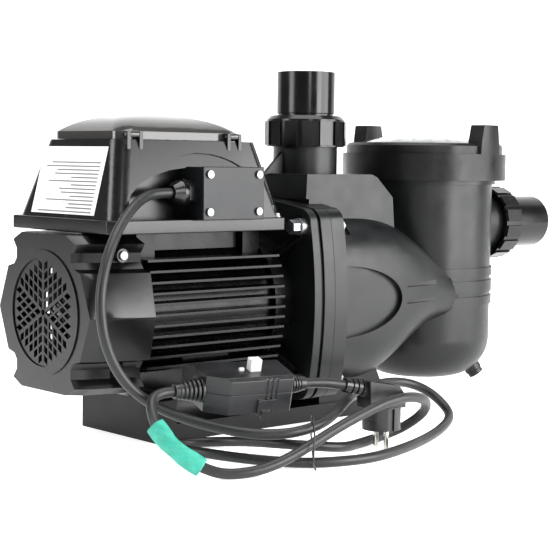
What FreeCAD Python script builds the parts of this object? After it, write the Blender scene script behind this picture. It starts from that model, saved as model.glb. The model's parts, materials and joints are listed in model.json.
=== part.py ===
"""Pool pump: plastic wet end with a strainer pot, finned motor, inverter box and its mains lead.

X runs along the motor shaft, from the fan (-X) to the suction port (+X). Z is up, and Z = 0 is the
underside of the base. The origin lies below the axis of the discharge port. Millimetres.
"""
import os
import math
import FreeCAD
import Part
import Sketcher
from FreeCAD import Placement, Rotation, Vector

# ---------------------------------------------------------------- driving dimensions
DIMENSIONS = {
    # motor line
    "axis_height": 128.0,
    "shaft_radius": 10.0,
    "core_bore": 62.0,
    "frame_radius": 67.0,
    "frame_rear": -266.0,
    "frame_front": -106.0,
    "fin_pitch": 10.2,
    "fin_thick": 2.4,
    "fin_reach": 88.0,
    "cowl_rear": -337.6,
    "cowl_front": -275.0,
    # wet end
    "flange_rear": -80.0,
    "plate_front": -51.0,
    "flange_front": -33.0,
    "flange_half_wide": 104.0,
    "flange_half_high": 107.0,
    "bolt_y": 84.0,
    "bolt_rise": 80.0,
    "volute_bore": 78.0,
    "pot_x": 192.0,
    "pot_radius": 80.3,
    "pot_bore": 72.5,
    "collar_top": 282.0,
    "ring_radius": 95.7,
    "ring_bottom": 254.6,
    "inlet_height": 202.2,
    # solvent-weld unions for 63 mm pipe
    "stub_radius": 31.5,
    "stub_bore": 25.0,
    "nut_radius": 43.9,
    "nut_long": 33.6,
    "nut_pitch": 6.0,
    "neck_end": 306.0,
    "discharge_top": 371.0,
    "nozzle_end": 313.0,
    "inlet_end": 391.6,
    # inverter box
    "deck_rear": -321.0,
    "deck_front": -100.5,
    "deck_half": 85.8,
    "deck_under": 205.0,
    "deck_top": 218.0,
    "case_top": 293.0,
    "lid_top": 318.0,
    "hinge_y": -61.5,
    "hinge_z": 298.0,
    # terminal box
    "box_rear": -219.0,
    "box_front": -143.0,
    "box_face": -95.0,
    "box_top": 268.0,
    "gland_y": -72.0,
    "gland_z": 243.0,
    # base and lead
    "base_half": 63.0,
    "base_rear": -249.0,
    "cord_diameter": 9.5,
}

doc = FreeCAD.newDocument("pool_pump")
sheet = doc.addObject("Spreadsheet::Sheet", "Sizes")
for row, (alias, value) in enumerate(DIMENSIONS.items(), start=1):
    sheet.set(f"A{row}", alias)
    sheet.set(f"B{row}", str(value))
    sheet.setAlias(f"B{row}", alias)
doc.recompute()

NODES = []
UP = Rotation()
ALONG_X = Rotation(Vector(0, 1, 0), 90)
TOWARDS_NEAR = Rotation(Vector(1, 0, 0), 90)
TOWARDS_FAR = Rotation(Vector(1, 0, 0), -90)


def size(alias):
    """The number in one cell of the sheet."""
    return float(sheet.get(alias))


AXIS = size("axis_height")
POT_X = size("pot_x")


def node(name, item):
    """Name a finished piece, so that it is written out under that name."""
    item.Label = name
    NODES.append(item)
    return item


def solid_node(name, shape):
    """A piece whose shape is worked out from the sheet with Part's own functions."""
    item = doc.addObject("Part::Feature", name)
    place = shape.Placement
    item.Shape = shape
    item.Placement = place
    return node(name, item)


# ---------------------------------------------------------------- sketches bound to the sheet
def bind_point(sketch, geometry, index, across, along):
    """Tie one vertex of a sketch to two formulas, measured from the sketch's origin."""
    for kind, formula, axis in (("DistanceX", across, -2), ("DistanceY", along, -1)):
        if formula == "0":
            sketch.addConstraint(Sketcher.Constraint("PointOnObject", geometry, index, axis))
            continue
        point = sketch.getPoint(geometry, index)
        value = point.x if kind == "DistanceX" else point.y
        number = sketch.addConstraint(Sketcher.Constraint(kind, -1, 1, geometry, index, value))
        sketch.setExpression(f"Constraints[{number}]", formula)


def formula_value(formula):
    """What a formula comes to, with each cell's name replaced by its number."""
    item = sheet
    item.set("Z1", "=" + formula.replace("Sizes.", ""))
    doc.recompute([sheet])
    return float(sheet.get("Z1"))


def outline_sketch(body, role, outline):
    """A closed polygon on one of the body's own planes, every corner tied to the sheet."""
    plane = [item for item in body.Origin.OriginFeatures if item.Role == role][0]
    sketch = body.newObject("Sketcher::SketchObject", body.Name + "_sketch")
    sketch.AttachmentSupport = [(plane, "")]
    sketch.MapMode = "FlatFace"
    corners = [Vector(formula_value(a), formula_value(b), 0) for a, b in outline]
    count = len(corners)
    for i in range(count):
        sketch.addGeometry(Part.LineSegment(corners[i], corners[(i + 1) % count]))
    for i in range(count):
        sketch.addConstraint(Sketcher.Constraint("Coincident", i, 2, (i + 1) % count, 1))
    for i, (across, along) in enumerate(outline):
        bind_point(sketch, i, 1, across, along)
    return sketch


def turned(name, profile, base, rotation=UP):
    """A body turned about its own Z axis: the profile lists (radius, height) formulas."""
    body = doc.addObject("PartDesign::Body", name)
    sketch = outline_sketch(body, "XZ_Plane", profile)
    spin = body.newObject("PartDesign::Revolution", name + "_turn")
    spin.Profile = sketch
    spin.ReferenceAxis = (sketch, ["V_Axis"])
    spin.Angle = 360
    body.Placement = Placement(base, rotation)
    return body


def milled(name, outline, depth, base, rotation=UP):
    """A body padded along its own Z axis from an outline of (x, y) formulas."""
    body = doc.addObject("PartDesign::Body", name)
    sketch = outline_sketch(body, "XY_Plane", outline)
    pad = body.newObject("PartDesign::Pad", name + "_pad")
    pad.Profile = sketch
    pad.setExpression("Length", depth)
    body.Placement = Placement(base, rotation)
    return body


def ring_profile(inner, outer, low, high):
    """The profile of a plain tube."""
    return [(inner, low), (outer, low), (outer, high), (inner, high)]


# ---------------------------------------------------------------- plain shapes
def drum(radius, low, high, centre=Vector(), rotation=UP):
    """A solid cylinder from low to high along its own axis."""
    shape = Part.makeCylinder(radius, high - low, Vector(0, 0, low))
    shape.Placement = Placement(centre, rotation)
    return shape


def block(x0, x1, y0, y1, z0, z1):
    """A box given by its limits."""
    return Part.makeBox(x1 - x0, y1 - y0, z1 - z0, Vector(x0, y0, z0))


def hex_prism(flats, low, high, centre, rotation):
    """A hexagonal prism, such as a bolt head."""
    reach = flats / math.sqrt(3)
    ring = [Vector(reach * math.cos(math.radians(60 * i)), reach * math.sin(math.radians(60 * i)), low)
            for i in range(7)]
    shape = Part.Face(Part.makePolygon(ring)).extrude(Vector(0, 0, high - low))
    shape.Placement = Placement(centre, rotation)
    return shape


def rounded_wire(x0, x1, y0, y1, z, radius):
    """A rectangle with round corners at one height."""
    corners = []
    turns = [(x1 - radius, y0 + radius, -90), (x1 - radius, y1 - radius, 0),
             (x0 + radius, y1 - radius, 90), (x0 + radius, y0 + radius, 180)]
    for cx, cy, start in turns:
        points = [Vector(cx + radius * math.cos(math.radians(start + step)),
                         cy + radius * math.sin(math.radians(start + step)), z) for step in (0, 45, 90)]
        corners.append(points)
    edges = []
    for i, points in enumerate(corners):
        edges.append(Part.Arc(*points).toShape())
        edges.append(Part.makeLine(points[2], corners[(i + 1) % 4][0]))
    return Part.Wire(edges)


def lofted(wires, ruled=True):
    """A solid through a row of closed outlines."""
    return Part.makeLoft(wires, True, ruled)


def prism(points, direction):
    """A flat outline of 3D points pushed along a direction."""
    return Part.Face(Part.makePolygon(points + [points[0]])).extrude(direction)


def fused(shapes):
    """All shapes as one clean solid."""
    return shapes[0].multiFuse(shapes[1:]).removeSplitter()


def rounded_path(points):
    """Straight runs joined by tangent arcs, each arc as large as its two runs allow, and their radii."""
    edges = []
    radii = []
    start = points[0]
    for before, corner, after in zip(points, points[1:], points[2:]):
        back = before - corner
        ahead = after - corner
        reach = 0.45 * min(back.Length, ahead.Length)
        back.normalize()
        ahead.normalize()
        half_turn = (math.pi - back.getAngle(ahead)) / 2
        radius = reach / math.tan(half_turn)
        first = corner + back * reach
        last = corner + ahead * reach
        inward = back + ahead
        inward.normalize()
        middle = corner + inward * (radius / math.cos(half_turn) - radius)
        edges.append(Part.LineSegment(start, first).toShape())
        edges.append(Part.Arc(first, middle, last).toShape())
        radii.append(radius)
        start = last
    edges.append(Part.LineSegment(start, points[-1]).toShape())
    return Part.Wire(edges), radii


def swept_round(points, radius):
    """A round rod along a path of straight runs and arcs, with that path and its radii."""
    path, radii = rounded_path(points)
    section = Part.Wire(Part.Circle(points[0], points[1] - points[0], radius).toShape())
    return path.makePipeShell([section], True, True), path, radii


def flange_wire(x, half_wide, half_high, bulge):
    """The pump flange's outline in the plane at x: four bowed sides and four small round corners."""
    wide = half_wide - bulge
    high = half_high - bulge
    turn = 0.16 * half_wide
    side_y = wide - turn
    side_z = high - turn
    knee = 0.29 * turn
    edges = []
    for sy, sz in ((1, 1), (-1, 1), (-1, -1), (1, -1)):
        start = Vector(x, sy * wide, AXIS + sz * side_z)
        middle = Vector(x, sy * (wide - knee), AXIS + sz * (high - knee))
        end = Vector(x, sy * side_y, AXIS + sz * high)
        edges.append(((start, middle, end), sy, sz))
    wire = []
    for i, (points, sy, sz) in enumerate(edges):
        path = points if i % 2 == 0 else (points[2], points[1], points[0])
        wire.append(Part.Arc(*path).toShape())
        following = edges[(i + 1) % 4][0]
        start = path[2]
        end = following[2] if i % 2 == 0 else following[0]
        if i % 2 == 0:
            bow = Vector(x, 0, AXIS + sz * half_high)
        else:
            bow = Vector(x, sy * half_wide, AXIS)
        wire.append(Part.Arc(start, bow, end).toShape())
    return Part.Wire(wire)


def flange_slab(x0, x1, shrink=0.0):
    """A slab with the flange's outline, from x0 to x1."""
    wire = flange_wire(x0, size("flange_half_wide") - shrink, size("flange_half_high") - shrink, 8.0)
    return Part.Face(wire).extrude(Vector(x1 - x0, 0, 0))


AT_AXIS = Vector(0, 0, AXIS)
FLANGE_BOLTS = [Vector(0, sy * size("bolt_y"), AXIS + sz * size("bolt_rise"))
                for sy in (-1, 1) for sz in (-1, 1)]


# ---------------------------------------------------------------- rotor: what turns with the shaft
def make_rotor():
    shaft = [("0", "-322"), ("7", "-322"), ("7", "-284.5"), ("Sizes.shaft_radius", "-284.5"),
             ("Sizes.shaft_radius", "-258"), ("12", "-258"), ("12", "-112"),
             ("Sizes.shaft_radius", "-112"), ("Sizes.shaft_radius", "-84"), ("9.5", "-84"),
             ("9.5", "-44"), ("8", "-44"), ("8", "-20"), ("0", "-20")]
    node("motor_shaft", turned("motor_shaft", shaft, AT_AXIS, ALONG_X))
    node("rotor_core", turned("rotor_core", ring_profile("12", "34", "-235", "-155"), AT_AXIS, ALONG_X))
    seal = ring_profile("9.5", "15.5", "-57.6", "-44")
    node("seal_head", turned("seal_head", seal, AT_AXIS, ALONG_X))

    hub = drum(14, -316, -292, AT_AXIS, ALONG_X)
    web = drum(44, -299, -296, AT_AXIS, ALONG_X)
    blades = []
    for i in range(7):
        blade = block(-316, -296, -1.2, 1.2, 12, 52)
        blade.rotate(Vector(0, 0, 0), Vector(1, 0, 0), i * 360 / 7)
        blade.translate(AT_AXIS)
        blades.append(blade)
    fan = fused([hub, web] + blades).cut(drum(7, -330, -280, AT_AXIS, ALONG_X))
    solid_node("cooling_fan", fan)

    back = drum(60, -42, -39, AT_AXIS, ALONG_X)
    front = drum(60, -26, -23.5, AT_AXIS, ALONG_X).cut(drum(23, -30, -20, AT_AXIS, ALONG_X))
    eye = drum(26, -26, -19, AT_AXIS, ALONG_X).cut(drum(23, -30, -10, AT_AXIS, ALONG_X))
    core = drum(14, -42, -22, AT_AXIS, ALONG_X)
    vanes = []
    for i in range(6):
        vane = block(-40, -25, -1.5, 1.5, 22, 59)
        vane.rotate(Vector(0, 0, 22), Vector(1, 0, 0), 38)
        vane.rotate(Vector(0, 0, 0), Vector(1, 0, 0), i * 60)
        vane.translate(AT_AXIS)
        vanes.append(vane)
    wheel = fused([back, front, eye, core] + vanes)
    keep = drum(60, -42, -19, AT_AXIS, ALONG_X)
    solid_node("impeller", wheel.common(keep).cut(drum(8, -50, -10, AT_AXIS, ALONG_X)))


# ---------------------------------------------------------------- motor
SHIELD_RADIUS = 71.5
WASHER_RADIUS = 8.8
COWL_SCREWS = [(side, rise) for side in (-1, 1) for rise in (-1, 1)]


def cowl_screw_line(side, rise):
    """Where one cowl screw's axis crosses the centre plane, and which way it points out."""
    return Vector(-297, 0, AXIS + rise * 57), TOWARDS_NEAR if side < 0 else TOWARDS_FAR


def make_motor():
    core = ring_profile("34.6", "Sizes.core_bore", "-240", "-150")
    node("stator_core", turned("stator_core", core, AT_AXIS, ALONG_X))
    coils = []
    for low, high in ((-256, -240), (-150, -134)):
        coil = drum(57, low, high, AT_AXIS, ALONG_X).cut(drum(38, low, high, AT_AXIS, ALONG_X))
        coils.append(coil.makeFillet(5.0, coil.Edges))
    solid_node("stator_windings", Part.makeCompound(coils))
    races = []
    for low in (-272, -112):
        race = drum(23.5, low, low + 14, AT_AXIS, ALONG_X)
        races.append(race.cut(drum(10.05, low, low + 14, AT_AXIS, ALONG_X)))
    solid_node("shaft_bearings", Part.makeCompound(races))

    bore = size("core_bore")
    rear = size("frame_rear")
    front = size("frame_front")
    shell = drum(size("frame_radius"), rear, front, AT_AXIS, ALONG_X)
    pieces = [shell]
    half = size("fin_thick") / 2
    for i in range(-5, 6):
        z = AXIS + i * size("fin_pitch")
        reach = size("fin_reach") - 10.0 * (i / 5) ** 2
        root = math.sqrt(size("frame_radius") ** 2 - (z - AXIS) ** 2) - 4
        for side in (-1, 1):
            low, high = sorted((side * root, side * reach))
            pieces.append(block(-272, front, low, high, z - half, z + half))
    deck = size("deck_under")
    pieces.append(block(-250, -130, -38, 38, 186, deck))
    for x0, x1 in ((-128, -106), (-262, -240)):
        for side in (-1, 1):
            low, high = sorted((side * 30, side * 46))
            pieces.append(block(x0, x1, low, high, AXIS + 4 * size("fin_pitch"), deck))
    pieces.append(block(-205, -145, -46, 46, 41, 80))
    frame = fused(pieces).cut(drum(bore, -280, -90, AT_AXIS, ALONG_X))
    frame = frame.cut(drum(SHIELD_RADIUS + 0.3, -290, rear, AT_AXIS, ALONG_X))
    solid_node("motor_frame", frame)

    plate = drum(SHIELD_RADIUS, -284, rear, AT_AXIS, ALONG_X).cut(drum(60, -276, rear, AT_AXIS, ALONG_X))
    hub = drum(31, -284, -258, AT_AXIS, ALONG_X)
    lugs = []
    for side, rise in COWL_SCREWS:
        y_low, y_high = sorted((side * 42, side * 57.5))
        z_low, z_high = sorted((AXIS + rise * 50, AXIS + rise * 62))
        lugs.append(block(-304, -278, y_low, y_high, z_low, z_high))
    shield = fused([plate, hub] + lugs).cut(drum(23.5, -272, -250, AT_AXIS, ALONG_X))
    shield = shield.cut(drum(11, -290, -250, AT_AXIS, ALONG_X))
    for side, rise in COWL_SCREWS:
        shield = shield.cut(drum(2.05, 40, 62, *cowl_screw_line(side, rise)))
    solid_node("rear_shield", shield)

    rim = size("flange_rear")
    plate = drum(74, front, -96, AT_AXIS, ALONG_X)
    skirt = drum(74, -96, rim, AT_AXIS, ALONG_X).cut(drum(62, -96, rim, AT_AXIS, ALONG_X))
    hub = drum(31, -112, -92, AT_AXIS, ALONG_X)
    arms = []
    for centre in FLANGE_BOLTS:
        sy = math.copysign(1, centre.y)
        sz = math.copysign(1, centre.z - AXIS)
        start = Vector(-106, sy * 42, AXIS + sz * 40)
        arm = prism([start, Vector(rim, sy * 42, AXIS + sz * 40), Vector(rim, sy * 84, AXIS + sz * 78)],
                    Vector(0, sy * 5, -sz * 5))
        arms.append(arm)
    shield = fused([plate, skirt, hub] + arms)
    shield = shield.cut(drum(23.5, -120, -98, AT_AXIS, ALONG_X))
    shield = shield.cut(drum(11, -120, -80, AT_AXIS, ALONG_X))
    for centre in FLANGE_BOLTS:
        shield = shield.cut(drum(WASHER_RADIUS + 0.3, -100, rim + 1, centre, ALONG_X))
    solid_node("front_shield", shield)


# ---------------------------------------------------------------- fan cowl
def cowl_wire(x, side, shoulder, top_half, inset):
    """The cowl's faceted outline in the plane at x, with a stepped notch for the screw in each corner."""
    upper = [(side - inset, 0), (shoulder - 1.2 * inset, 41 - 0.5 * inset),
             (shoulder - 11 - 1.2 * inset, 44 - inset), (shoulder - 15.5 - inset, 50),
             (shoulder - 15.5 - inset, 59), (shoulder - 9 - 2.2 * inset, 67.5 + 0.1 * inset),
             (top_half - inset * 0.5, 75 - inset)]
    lower = [(y, -z) for y, z in upper[1:]]
    right = list(reversed(lower)) + upper
    left = [(-y, z) for y, z in reversed(right)]
    points = [Vector(x, y, AXIS + z) for y, z in right + left]
    return Part.makePolygon(points + [points[0]])


GRILLE_PITCH = 9.2
GRILLE_BAR = 2.5


def grille_holes(rear):
    """Diamond holes in six sectors. In each sector they stand on a lattice whose two directions lie at
    30 degrees either side of the sector's middle line, so row n holds n diamonds."""
    row = GRILLE_PITCH * math.cos(math.radians(30))
    long = (GRILLE_PITCH - GRILLE_BAR) * math.cos(math.radians(30))
    short = (GRILLE_PITCH - GRILLE_BAR) / 2
    holes = []
    for sector in range(6):
        for count in range(1, 6):
            for place in range(count):
                across = (place - (count - 1) / 2) * GRILLE_PITCH
                out = count * row + 1.5
                corners = [(across, out - long), (across + short, out), (across, out + long), (across - short, out)]
                hole = prism([Vector(rear - 3, y, z) for y, z in corners], Vector(7, 0, 0))
                hole.rotate(Vector(), Vector(1, 0, 0), 60 * sector + 30)
                hole.translate(AT_AXIS)
                holes.append(hole)
    return holes


def make_cowl():
    rear = size("cowl_rear")
    front = size("cowl_front")
    outer = lofted([cowl_wire(rear, 78, 62, 38, 0), cowl_wire(rear + 12, 85, 70, 48, 0),
                    cowl_wire(front, 95, 86, 60, 0)])
    inner = lofted([cowl_wire(rear + 2.5, 78, 62, 38, 2.5), cowl_wire(rear + 12, 85, 70, 48, 2.5),
                    cowl_wire(front + 1, 95, 86, 60, 2.5)])
    rim = drum(60, rear - 1.5, rear + 1, AT_AXIS, ALONG_X).cut(drum(52, rear - 2, rear + 2, AT_AXIS, ALONG_X))
    cowl = fused([outer.cut(inner), rim])
    slots = grille_holes(rear)
    hole = drum(3, rear - 3, rear + 4, AT_AXIS, ALONG_X)
    cowl = cowl.cut(Part.makeCompound(slots)).cut(hole)
    seat = 72.4
    screws = []
    for side, rise in COWL_SCREWS:
        line = cowl_screw_line(side, rise)
        boss = drum(6.5, 60.9, seat, *line)
        cowl = fused([cowl, boss]).cut(drum(5.0, seat, 90, *line)).cut(drum(2.1, 50, 90, *line))
        screws.append(fused([drum(2.0, 52, seat, *line), drum(4.2, seat, seat + 2.5, *line)]))
    solid_node("fan_cowl", cowl)
    solid_node("cowl_screws", Part.makeCompound(screws))


# ---------------------------------------------------------------- seal plate, volute and pot
def section_wire(x, half_y, z_low, z_high):
    """One rounded cross-section of the volute's tail, in the plane at x."""
    middle = (z_low + z_high) / 2
    half_z = (z_high - z_low) / 2
    ring = []
    for turn in (0, 90, 180, 270):
        for along in (0, 1, 2):
            angle = math.radians(turn + 30 * along)
            power = 2 / 3.2
            y = math.copysign(abs(math.cos(angle)) ** power, math.cos(angle)) * half_y
            z = math.copysign(abs(math.sin(angle)) ** power, math.sin(angle)) * half_z
            ring.append(Vector(x, y, middle + z))
    curve = Part.BSplineCurve()
    curve.interpolate(ring, PeriodicFlag=True)
    return Part.Wire(curve.toShape())


def pot_solid(radius, bottom, top, knuckle):
    """A round pot with a domed bottom."""
    crown = Vector(0, 0, bottom)
    low = Vector(radius - knuckle, 0, bottom + 3.5)
    bend = Vector(radius - knuckle * 0.29, 0, bottom + 3.5 + knuckle * 0.29)
    side = Vector(radius, 0, bottom + 3.5 + knuckle)
    flat = Vector((radius - knuckle) / 2, 0, bottom + 0.9)
    edges = [Part.Arc(crown, flat, low).toShape(), Part.Arc(low, bend, side).toShape(),
             Part.makeLine(side, Vector(radius, 0, top)),
             Part.makeLine(Vector(radius, 0, top), Vector(0, 0, top)),
             Part.makeLine(Vector(0, 0, top), crown)]
    shape = Part.Face(Part.Wire(edges)).revolve(Vector(), Vector(0, 0, 1), 360)
    shape.translate(Vector(POT_X, 0, 0))
    return shape


def make_wet_end():
    rim = size("flange_rear")
    front = size("plate_front")
    plate = fused([flange_slab(rim, rim + 10), flange_slab(rim + 10, rim + 14, 3.0),
                   flange_slab(rim + 14, front), drum(77.9, front, front + 6, AT_AXIS, ALONG_X)])
    plate = plate.cut(drum(58, rim, rim + 12, AT_AXIS, ALONG_X))
    plate = plate.cut(drum(68, front - 8, front + 6, AT_AXIS, ALONG_X))
    plate = plate.cut(drum(18, rim, front, AT_AXIS, ALONG_X))
    for centre in FLANGE_BOLTS:
        plate = plate.cut(drum(4.2, rim - 5, front + 30, centre, ALONG_X))
    solid_node("seal_plate", plate)
    seat = ring_profile("9.8", "18", "-66", "-58")
    node("seal_seat", turned("seal_seat", seat, AT_AXIS, ALONG_X))

    body = [flange_slab(front, size("flange_front"))]
    tail = lofted([section_wire(-40, 96, 32, 224), section_wire(20, 95, 34, 222),
                   section_wire(70, 92, 50, 214), section_wire(115, 86, 80, 190),
                   section_wire(150, 80, 92, 164), section_wire(190, 76, 98, 150)], False)
    body.append(tail)
    shroud = prism([Vector(-57, -62, 195), Vector(-54, -62, 261), Vector(42, -62, 261), Vector(50, -62, 258),
                    Vector(75, -62, 236), Vector(79, -62, 195)], Vector(0, 124, 0))
    plate_top = AXIS + size("flange_half_high") + 0.3
    body.append(shroud.cut(block(-90, front, -63, 63, 190, plate_top)))
    pot = [pot_solid(size("pot_radius"), 20.6, 260, 48)]
    band = [(144.3, 154.0), (125.5, 139.2), (111.3, 121.0)]
    for low, high in band:
        pot.append(drum(size("pot_radius") + 2, low, high, Vector(POT_X, 0, 0)))
    pot.append(drum(84.0, 250, size("collar_top"), Vector(POT_X, 0, 0)))
    body.append(drum(35, 255, size("neck_end") - 6, Vector()))
    body.append(drum(38, size("neck_end") - 14, size("neck_end"), Vector()))
    for x_foot, x_head, z_foot, z_head in ((-62, -30, 261, 289), (46, 28, 261, 283)):
        body.append(prism([Vector(x_foot, -2.5, z_foot - 2), Vector(x_head, -2.5, z_head),
                           Vector(0, -2.5, z_head), Vector(0, -2.5, z_foot - 2)], Vector(0, 5, 0)))
    at_inlet = Vector(0, 0, size("inlet_height"))
    pot.append(drum(35, POT_X + 60, size("nozzle_end") - 8, at_inlet, ALONG_X))
    pot.append(drum(38, size("nozzle_end") - 15, size("nozzle_end"), at_inlet, ALONG_X))
    pot.append(drain_boss())
    pot = fused(pot)
    shape = fused(body).cut(pot)
    chamber = lofted([section_wire(34, 80, 50, 206), section_wire(70, 78, 66, 200),
                      section_wire(108, 70, 96, 172)], False)
    suction_way = drum(28, 20, POT_X - 40, AT_AXIS, ALONG_X)
    cavity = [chamber, drum(size("volute_bore"), front - 1, 24, AT_AXIS, ALONG_X),
              suction_way,
              drum(26, AXIS + 30, size("neck_end") + 1, Vector())]
    for hollow in cavity:
        shape = shape.cut(hollow)
    wells = [suction_way, pot_solid(size("pot_bore"), 27, 231.7, 42),
             drum(75, 231.7, size("collar_top") + 1, Vector(POT_X, 0, 0)),
             drum(26, POT_X + 50, size("nozzle_end") + 1, at_inlet, ALONG_X), drain_bore()]
    for hollow in wells:
        pot = pot.cut(hollow)
    for centre in FLANGE_BOLTS:
        shape = shape.cut(drum(4.2, front - 5, size("flange_front") + 4, centre, ALONG_X))
        shape = shape.cut(drum(10.5, size("flange_front"), size("flange_front") + 24, centre, ALONG_X))
    for low, high in ((139.2, 144.3), (121.0, 125.5)):
        groove = block(70, POT_X, -120, 120, low, high)
        inner = block(60, POT_X, -84.5, 84.5, low - 1, high + 1)
        shape = shape.cut(groove.cut(inner).cut(drum(82, low - 2, high + 2, Vector(POT_X, 0, 0))))
    for side in (-1, 1):
        pan = drum(1, 0, 1, Vector())
        stretch = FreeCAD.Matrix()
        stretch.scale(94, 38, 12)
        pan = pan.transformGeometry(stretch)
        pan.Placement = Placement(Vector(-33, side * 88, AXIS), Rotation(Vector(1, 0, 0), -90 * side))
        shape = shape.cut(pan.common(block(size("flange_front"), 120, -130, 130, 20, 240)))
    groove = drum(81.2, size("collar_top") - 2, size("collar_top") + 1, Vector(POT_X, 0, 0))
    pot = pot.cut(groove.cut(drum(76.8, 270, 290, Vector(POT_X, 0, 0))))
    shape = shape.cut(seal_groove(Vector(), UP, size("neck_end")))
    pot = pot.cut(seal_groove(at_inlet, ALONG_X, size("nozzle_end")))
    shape = max(shape.Solids, key=lambda piece: piece.Volume)
    solid_node("pump_housing", shape)
    solid_node("strainer_pot", pot)
    return [shape, pot]


def seal_groove(centre, turn, end):
    """The O-ring groove in a port's face."""
    return drum(34.2, end - 4, end + 1, centre, turn).cut(drum(29.8, end - 5, end + 2, centre, turn))


DRAIN_TURN = Rotation(Vector(0, 0, 1), -41.85).multiply(Rotation(Vector(0, 1, 0), 145))
DRAIN_SPOT = Vector(POT_X + 36 * 0.745, -36 * 0.667, 70)


def drain_boss():
    return drum(10, 30, 50, DRAIN_SPOT, DRAIN_TURN)


def drain_bore():
    return drum(6, 20, 51, DRAIN_SPOT, DRAIN_TURN)


def make_inside():
    wall = drum(76, -44, -14, AT_AXIS, ALONG_X).cut(drum(66, -45, -17, AT_AXIS, ALONG_X))
    neck = drum(27.9, -17, 30, AT_AXIS, ALONG_X)
    body = fused([wall, neck]).cut(drum(26.8, -20, -16.8, AT_AXIS, ALONG_X))
    body = body.cut(drum(24, -20, 31, AT_AXIS, ALONG_X))
    ports = []
    for i in range(8):
        port = block(-40, -20, -9, 9, 60, 80)
        port.rotate(Vector(), Vector(1, 0, 0), 22.5 + 45 * i)
        port.translate(AT_AXIS)
        ports.append(port)
    solid_node("diffuser", body.cut(Part.makeCompound(ports)))

    bolts = []
    nuts = []
    for centre in FLANGE_BOLTS:
        head = hex_prism(13, -98, -88, centre, ALONG_X)
        washer = drum(WASHER_RADIUS, -88, size("flange_rear"), centre, ALONG_X)
        shank = drum(4.0, size("flange_rear"), -22, centre, ALONG_X)
        bolts.append(fused([head, washer, shank]))
        nut = hex_prism(13, size("flange_front"), -26, centre, ALONG_X)
        nuts.append(nut.cut(drum(4.0, -40, -20, centre, ALONG_X)))
    solid_node("flange_bolts", Part.makeCompound(bolts))
    solid_node("flange_nuts", Part.makeCompound(nuts))


# ---------------------------------------------------------------- strainer lid, ring and basket
BAIL_HEIGHT = 239.0


def make_strainer():
    at_pot = Vector(POT_X, 0, 0)
    lid = [("0", "299"), ("68", "292"), ("70", "284"), ("83", "284"), ("83", "289.5"),
           ("76.5", "289.5"), ("76", "297"), ("60", "302.5"), ("0", "305.5")]
    node("strainer_lid", turned("strainer_lid", lid, at_pot))
    seal = Part.makeTorus(79, 1.8, Vector(POT_X, 0, size("collar_top") - 0.1))
    solid_node("lid_seal", seal)

    ring = drum(size("ring_radius"), size("ring_bottom"), 284.8, at_pot)
    tier = drum(91.5, 284.8, 297, at_pot)
    tier = tier.makeChamfer(3.0, [e for e in tier.Edges if abs(e.BoundBox.ZMin - 297) < 0.01
                                  and e.BoundBox.ZLength < 0.01])
    pieces = [ring, tier]
    for side in (-1, 1):
        outline = [Vector(-19, 0, 262), Vector(19, 0, 262), Vector(17, 0, 300), Vector(13.5, 0, 318),
                   Vector(-13.5, 0, 318), Vector(-17, 0, 300)]
        lug = prism(outline, Vector(0, 24, 0))
        lug.translate(Vector(0, 73, 0))
        lug = lug.makeFillet(2.0, [e for e in lug.Edges if e.BoundBox.ZMax > 317.9])
        turn = 5.5 if side > 0 else 185.5
        lug.rotate(Vector(), Vector(0, 0, 1), turn)
        lug.translate(at_pot)
        pieces.append(lug)
    keep = drum(size("ring_radius"), 250, 320, at_pot)
    ring = fused(pieces).common(keep)
    ring = ring.cut(drum(84.6, 250, 290, at_pot)).cut(drum(77.2, 280, 330, at_pot))
    solid_node("lock_ring", ring)

    cup = drum(68, 70, 232, at_pot).cut(drum(66, 72.5, 240, at_pot))
    rim = drum(74.4, 232, 236, at_pot).cut(drum(66, 230, 240, at_pot))
    basket = fused([cup, rim])
    slots = []
    for level in (84, 116, 148):
        for i in range(18):
            slot = block(-3, 3, 60, 75, level, level + 24)
            slot.rotate(Vector(), Vector(0, 0, 1), i * 20)
            slot.translate(at_pot)
            slots.append(slot)
    for i in range(-4, 5):
        reach = math.sqrt(58 ** 2 - (i * 12) ** 2)
        slots.append(block(POT_X + i * 12 - 3, POT_X + i * 12 + 3, -reach, reach, 66, 76))
    window = drum(27, 40, 90, Vector(POT_X, 0, 198), ALONG_X)
    basket = basket.cut(Part.makeCompound(slots)).cut(window)
    pivots = []
    for side in (-1, 1):
        low, high = sorted((side * 60.5, side * 66.4))
        pivots.append(block(POT_X - 4, POT_X + 4, low, high, 226, BAIL_HEIGHT + 4))
    basket = fused([basket] + pivots)
    hole = drum(2.05, -70, 70, Vector(POT_X, 0, BAIL_HEIGHT), TOWARDS_NEAR)
    solid_node("strainer_basket", basket.cut(hole))
    half = [(0, -66), (0, -57), (36, -57), (44, -40)]
    outline = half + [(x, -y) for x, y in reversed(half)]
    rod = [Vector(POT_X + x, y, BAIL_HEIGHT) for x, y in outline]
    solid_node("basket_bail", swept_round(rod, 2.0)[0])


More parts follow.
